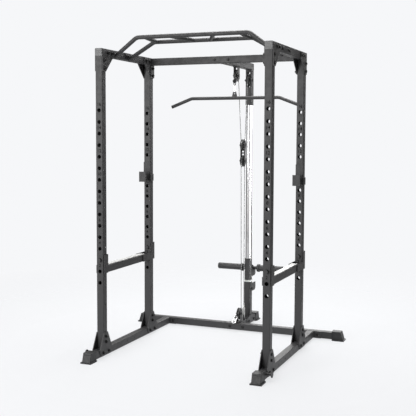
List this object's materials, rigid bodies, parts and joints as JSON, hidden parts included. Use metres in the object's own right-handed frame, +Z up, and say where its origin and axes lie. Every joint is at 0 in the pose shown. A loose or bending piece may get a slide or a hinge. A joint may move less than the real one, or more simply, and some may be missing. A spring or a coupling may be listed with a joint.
{
  "type": "power cage",
  "caption": "Four-post strength cage with pull-up grips, safety bars, bar hooks, and a rear tower with a plate carriage, high pull cable with a wide bar and low row cable",
  "frame": {"origin": "on the floor, at the middle of the footprint", "axes": "+X to the right seen from the front, +Y to the rear where the tower stands, +Z up"},
  "size_m": [1.666, 1.699, 2.144],
  "materials": {
    "charcoal_paint": "fine textured powder coat",
    "black_plastic": "satin moulded plastic",
    "chrome_steel": "polished",
    "cable_sheath": "clear nylon sheath over steel rope",
    "liner_plastic": "satin polyethylene",
    "black_fastener": "black oxide",
    "black_rubber": "matt",
    "bare_steel": "machined"
  },
  "bodies": {
    "frame": {"upright_front_left": "charcoal_paint", "upright_front_right": "charcoal_paint", "upright_rear_left": "charcoal_paint", "upright_rear_right": "charcoal_paint", "top_side_tube_left": "charcoal_paint", "top_side_tube_right": "charcoal_paint", "base_side_tube_left": "charcoal_paint", "base_side_tube_right": "charcoal_paint", "rear_base_crossmember": "charcoal_paint", "rear_top_crossmember": "charcoal_paint", "top_gussets": "charcoal_paint", "base_gussets": "charcoal_paint", "foot_caps": "black_plastic", "tube_end_caps": "black_plastic", "pullup_front_tube": "charcoal_paint", "pullup_rear_tube": "charcoal_paint", "pullup_grips": "charcoal_paint", "tower_arm": "charcoal_paint", "upper_post": "charcoal_paint", "lower_post": "charcoal_paint", "tower_base_tube": "charcoal_paint", "guide_tube": "chrome_steel", "carriage_bumper": "liner_plastic", "post_side_plate": "charcoal_paint", "pulley_brackets": "charcoal_paint", "fixed_cable_wraps": "cable_sheath", "row_cable_anchor": "bare_steel", "corner_bolts": "black_fastener", "joint_bolts": "black_fastener", "tower_bolts": "black_fastener", "block_cable_runs": "cable_sheath", "carriage_cable_drop": "cable_sheath", "lat_cable_drop": "cable_sheath", "row_cable_end": "cable_sheath"},
    "carriage": {"carriage_sleeve": "charcoal_paint", "carriage_bushes": "liner_plastic", "weight_horns": "charcoal_paint", "carriage_cable_stud": "bare_steel"},
    "lat_stop": {"lat_ball_stop": "black_rubber"},
    "lat_snap": {"lat_hook": "chrome_steel"},
    "lat_snap_gate": {"lat_hook_gate": "chrome_steel"},
    "lat_handle": {"lat_bar": "charcoal_paint"},
    "front_wheel": {"front_pulley": "black_plastic"},
    "post_wheel": {"post_pulley": "black_plastic"},
    "low_wheel": {"low_pulley": "black_plastic"},
    "block": {"floating_block_frame": "charcoal_paint", "block_cable_wraps": "cable_sheath"},
    "block_upper_wheel": {"block_upper_pulley": "black_plastic"},
    "block_lower_wheel": {"block_lower_pulley": "black_plastic"},
    "row_stop": {"row_ball_stop": "black_rubber"},
    "row_snap": {"row_hook": "chrome_steel"},
    "row_snap_gate": {"row_hook_gate": "chrome_steel"},
    "safety_left": {"safety_bar_left": "charcoal_paint", "safety_liner_left": "liner_plastic"},
    "safety_right": {"safety_bar_right": "charcoal_paint", "safety_liner_right": "liner_plastic"},
    "hook_left": {"jhook_left": "charcoal_paint", "jhook_liner_left": "black_plastic"},
    "hook_right": {"jhook_right": "charcoal_paint", "jhook_liner_right": "black_plastic"}
  },
  "joints": [
    {"name": "carriage_slide", "type": "slide", "parent": "frame", "child": "carriage", "axis": [0, 0, 1], "range_m": [0, 1.15], "deforming": ["carriage_cable_drop"]},
    {"name": "lat_pull", "type": "slide", "parent": "frame", "child": "lat_stop", "axis": [0, 0, -1], "range_m": [0, 1.15], "deforming": ["lat_cable_drop"]},
    {"name": "lat_hook_swing", "type": "hinge", "parent": "lat_stop", "child": "lat_snap", "pos_m": [0, 0.3205, 1.8535], "axis": [1, 0, 0], "range_deg": [-30, 30]},
    {"name": "lat_gate", "type": "hinge", "parent": "lat_snap", "child": "lat_snap_gate", "pos_m": [0, 0.3335, 1.8186], "axis": [1, 0, 0], "range_deg": [0, 24], "stiffness_Nm_per_rad": 0.02, "springref_deg": -17.19},
    {"name": "lat_bar_tilt", "type": "hinge", "parent": "lat_snap", "child": "lat_handle", "pos_m": [0, 0.3205, 1.7985], "axis": [0, 1, 0], "range_deg": [-15, 15]},
    {"name": "front_pulley_spin", "type": "hinge", "parent": "frame", "child": "front_wheel", "pos_m": [0, 0.3605, 1.931], "axis": [1, 0, 0], "range_deg": [0, 1652]},
    {"name": "post_pulley_spin", "type": "hinge", "parent": "frame", "child": "post_wheel", "pos_m": [0, 0.6445, 1.915], "axis": [1, 0, 0], "range_deg": [0, 1503]},
    {"name": "block_slide", "type": "slide", "parent": "frame", "child": "block", "axis": [0, 0, -1], "range_m": [0, 0.5], "stiffness_N_per_m": 20, "springref_m": -2.5, "deforming": ["block_cable_runs"]},
    {"name": "block_upper_spin", "type": "hinge", "parent": "block", "child": "block_upper_wheel", "pos_m": [0, 0.5125, 1.414], "axis": [1, 0, 0], "range_deg": [-1652, 0]},
    {"name": "block_lower_spin", "type": "hinge", "parent": "block", "child": "block_lower_wheel", "pos_m": [0, 0.5125, 1.294], "axis": [1, 0, 0], "range_deg": [0, 721]},
    {"name": "low_pulley_spin", "type": "hinge", "parent": "frame", "child": "low_wheel", "pos_m": [0, 0.4565, 0.12], "axis": [1, 0, 0], "range_deg": [-1437, 0]},
    {"name": "row_pull", "type": "slide", "parent": "frame", "child": "row_stop", "axis": [0, -0.9063, 0.4226], "range_m": [0, 1], "deforming": ["row_cable_end"]},
    {"name": "row_hook_swing", "type": "hinge", "parent": "row_stop", "child": "row_snap", "pos_m": [0, 0.37943, 0.1104], "axis": [1, 0, 0], "range_deg": [-60, 0]},
    {"name": "row_gate", "type": "hinge", "parent": "row_snap", "child": "row_snap_gate", "pos_m": [0.013, 0.33925, 0.08431], "axis": [0, -0.5446, 0.8387], "range_deg": [0, 24], "stiffness_Nm_per_rad": 0.02, "springref_deg": -17.19},
    {"name": "safety_slide_left", "type": "slide", "parent": "frame", "child": "safety_left", "axis": [0, 1, 0], "range_m": [0, 0.075]},
    {"name": "safety_slide_right", "type": "slide", "parent": "frame", "child": "safety_right", "axis": [0, 1, 0], "range_m": [0, 0.075]},
    {"name": "jhook_slide_left", "type": "slide", "parent": "frame", "child": "hook_left", "axis": [0, -1, 0], "range_m": [0, 0.09]},
    {"name": "jhook_slide_right", "type": "slide", "parent": "frame", "child": "hook_right", "axis": [0, -1, 0], "range_m": [0, 0.09]}
  ],
  "couplings": [
    {"joint": "lat_pull", "follows": "carriage_slide", "ratio": 1},
    {"joint": "front_pulley_spin", "follows": "carriage_slide", "rad_per_m": 25},
    {"joint": "post_pulley_spin", "follows": "carriage_slide", "rad_per_m": 22.727},
    {"joint": "block_upper_spin", "follows": "carriage_slide", "rad_per_m": -25},
    {"joint": "row_pull", "follows": "block_slide", "ratio": 2},
    {"joint": "low_pulley_spin", "follows": "block_slide", "rad_per_m": -50},
    {"joint": "block_lower_spin", "follows": "block_slide", "rad_per_m": 25}
  ]
}
